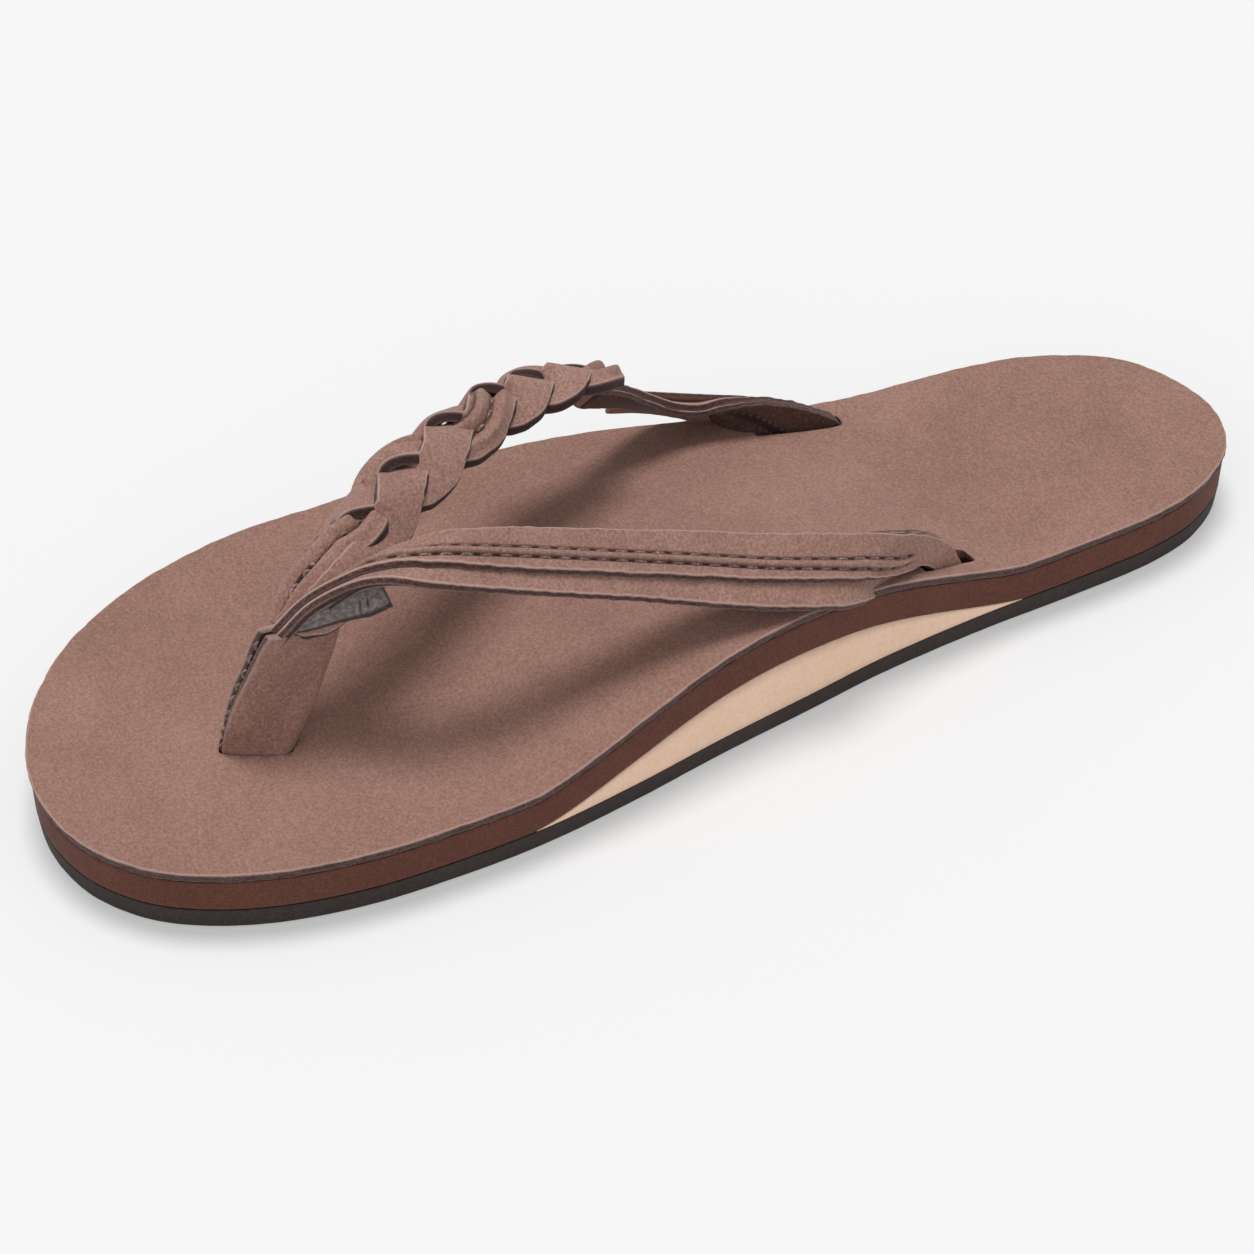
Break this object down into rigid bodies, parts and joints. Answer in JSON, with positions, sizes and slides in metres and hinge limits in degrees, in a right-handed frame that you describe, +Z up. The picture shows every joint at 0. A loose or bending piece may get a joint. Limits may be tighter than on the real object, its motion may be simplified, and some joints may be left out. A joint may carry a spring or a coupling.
{
  "type": "flip flop",
  "caption": "Right-foot leather flip flop with a layered sole, a raised arch wedge, a wrapped toe post, a stitched strap on the arch side and a braided strap on the outer side.",
  "frame": {"origin": "on the floor, below the middle of the sole's box", "axes": "+Z up, toe to -Y, heel to +Y, arch side of a right foot to +X"},
  "size_m": [0.0944, 0.2494, 0.0563],
  "materials": {
    "footbed_leather": "matt nubuck leather, fine grain, warm mid brown",
    "strap_leather": "matt nubuck leather with dark raw cut edges and a pale worn rim",
    "suede": "greyish brown napped flesh side",
    "brown_foam": "fine-grained matt reddish brown foam rubber",
    "tan_foam": "smooth pale tan foam rubber",
    "outsole_rubber": "dark brown-black matt rubber",
    "nylon": "dark brown woven nylon",
    "thread": "dark brown bonded thread"
  },
  "bodies": {
    "root": {"outsole": "outsole_rubber", "arch_wedge": "tan_foam", "midsole": "brown_foam", "top_sole": "footbed_leather", "arch_anchor_plate": "nylon", "outer_anchor_plate": "nylon", "toe_anchor_plate": "nylon", "toe_post_wrap": "strap_leather", "toe_post_webbing": "nylon", "toe_post_thread": "thread", "outer_strap_thread": "thread", "toe_post_tongue": "suede", "arch_strap_upper": "strap_leather", "arch_strap_overlay": "strap_leather", "arch_strap_ridge_core": "nylon", "arch_strap_lining": "suede", "arch_thread_upper": "thread", "arch_thread_lower": "thread", "braid_strand_front": "strap_leather", "braid_strand_ridge": "strap_leather", "braid_strand_rear": "strap_leather", "braid_thread_left": "thread", "braid_thread_right": "thread", "outer_strap_upper": "strap_leather", "outer_strap_webbing": "nylon", "outer_strap_lining": "suede"}
  },
  "joints": []
}
